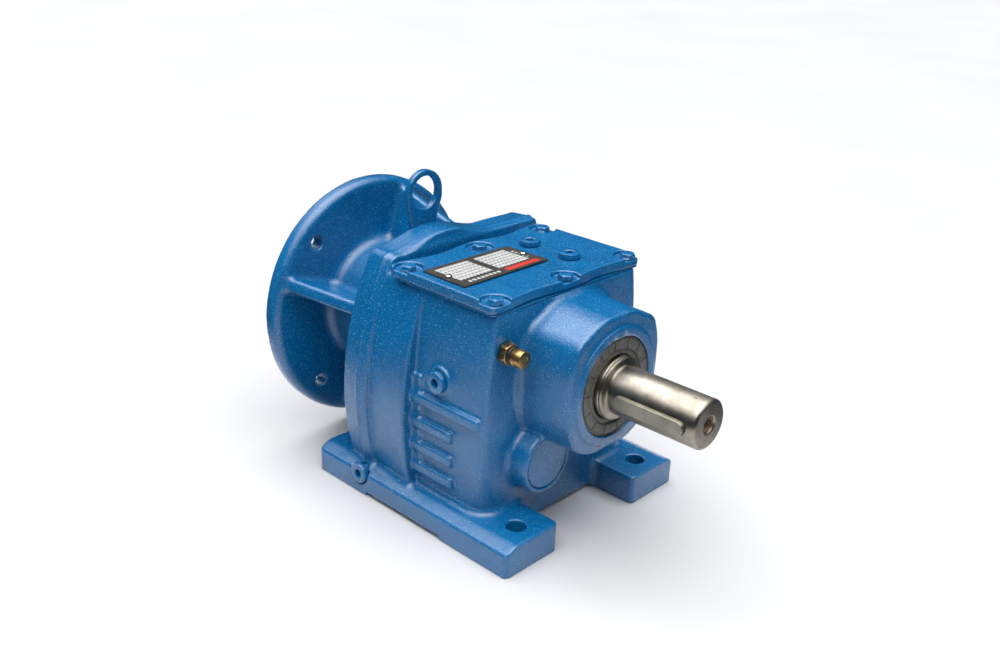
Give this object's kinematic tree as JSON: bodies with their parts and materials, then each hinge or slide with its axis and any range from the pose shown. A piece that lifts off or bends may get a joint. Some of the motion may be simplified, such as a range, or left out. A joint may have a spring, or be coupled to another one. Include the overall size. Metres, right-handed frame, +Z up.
{
  "type": "industrial helical gearbox",
  "caption": "Foot-mounted inline helical gearbox with a keyed output shaft, an input motor flange with a hollow input shaft, a bolted top cover and a lifting eye.",
  "frame": {"origin": "on the mounting plane, under the middle of the bounding box", "axes": "+X along the output shaft to its free end, +Z up, +Y to the right seen from the output shaft's end"},
  "size_m": [0.337, 0.2, 0.2302],
  "materials": {
    "blue_paint": "glossy blue enamel over cast iron, orange peel",
    "painted_fasteners": "fasteners painted over with the casing",
    "painted_steel_plate": "flame-cut plate painted blue",
    "brass": "machined brass, tarnished",
    "seal_rubber": "moulded nitrile rubber",
    "gasket": "pressed fibre sheet",
    "nameplate": "printed aluminium sheet",
    "shaft_steel": "ground steel",
    "key_steel": "drawn key steel",
    "gear_steel": "case-hardened steel, oiled",
    "bright_steel": "bearing steel and zinc-plated parts"
  },
  "bodies": {
    "casing": {"breather_body": "brass", "breather_cap": "brass", "breather_o_ring": "seal_rubber", "cover_bolt_1": "painted_fasteners", "cover_bolt_2": "painted_fasteners", "cover_bolt_3": "painted_fasteners", "cover_bolt_4": "painted_fasteners", "cover_bolt_5": "painted_fasteners", "cover_bolt_6": "painted_fasteners", "cover_gasket": "gasket", "cover_plug_1": "painted_fasteners", "cover_plug_2": "painted_fasteners", "flange_bolt_1": "painted_fasteners", "flange_bolt_2": "painted_fasteners", "flange_bolt_3": "painted_fasteners", "flange_bolt_4": "painted_fasteners", "housing": "blue_paint", "input_bearing_circlip": "bright_steel", "input_flange": "blue_paint", "input_front_bearing_outer_ring": "bright_steel", "input_oil_seal": "seal_rubber", "input_rear_bearing_outer_ring": "bright_steel", "intermediate_bore_cap": "blue_paint", "intermediate_front_bearing_outer_ring": "bright_steel", "intermediate_rear_bearing_outer_ring": "bright_steel", "lifting_eye": "painted_steel_plate", "lifting_eye_bolt": "painted_fasteners", "nameplate": "nameplate", "nameplate_rivet_1": "bright_steel", "nameplate_rivet_2": "bright_steel", "oil_drain_plug": "painted_fasteners", "oil_level_plug": "painted_fasteners", "output_front_bearing_outer_ring": "bright_steel", "output_oil_seal": "seal_rubber", "output_rear_bearing_outer_ring": "bright_steel", "top_cover": "blue_paint"},
    "output_train": {"output_front_bearing_inner_ring": "bright_steel", "output_gear": "gear_steel", "output_gear_spacer": "gear_steel", "output_key": "key_steel", "output_rear_bearing_inner_ring": "bright_steel", "output_shaft": "shaft_steel"},
    "intermediate_train": {"intermediate_front_bearing_inner_ring": "bright_steel", "intermediate_gear": "gear_steel", "intermediate_pinion_shaft": "gear_steel", "intermediate_rear_bearing_inner_ring": "bright_steel"},
    "input_train": {"input_bearing_spacer": "gear_steel", "input_front_bearing_inner_ring": "bright_steel", "input_pinion_shaft": "gear_steel", "input_rear_bearing_inner_ring": "bright_steel"}
  },
  "joints": [
    {"name": "output_spin", "type": "hinge", "parent": "casing", "child": "output_train", "pos_m": [0.1, 0, 0.115], "axis": [1, 0, 0], "continuous": true},
    {"name": "intermediate_spin", "type": "hinge", "parent": "casing", "child": "intermediate_train", "pos_m": [0, -0.033, 0.0575], "axis": [1, 0, 0], "continuous": true},
    {"name": "input_spin", "type": "hinge", "parent": "casing", "child": "input_train", "pos_m": [-0.1, 0, 0.107], "axis": [1, 0, 0], "continuous": true}
  ],
  "couplings": [
    {"joint": "intermediate_spin", "follows": "output_spin", "ratio": -3.75},
    {"joint": "input_spin", "follows": "output_spin", "ratio": 9.375}
  ]
}
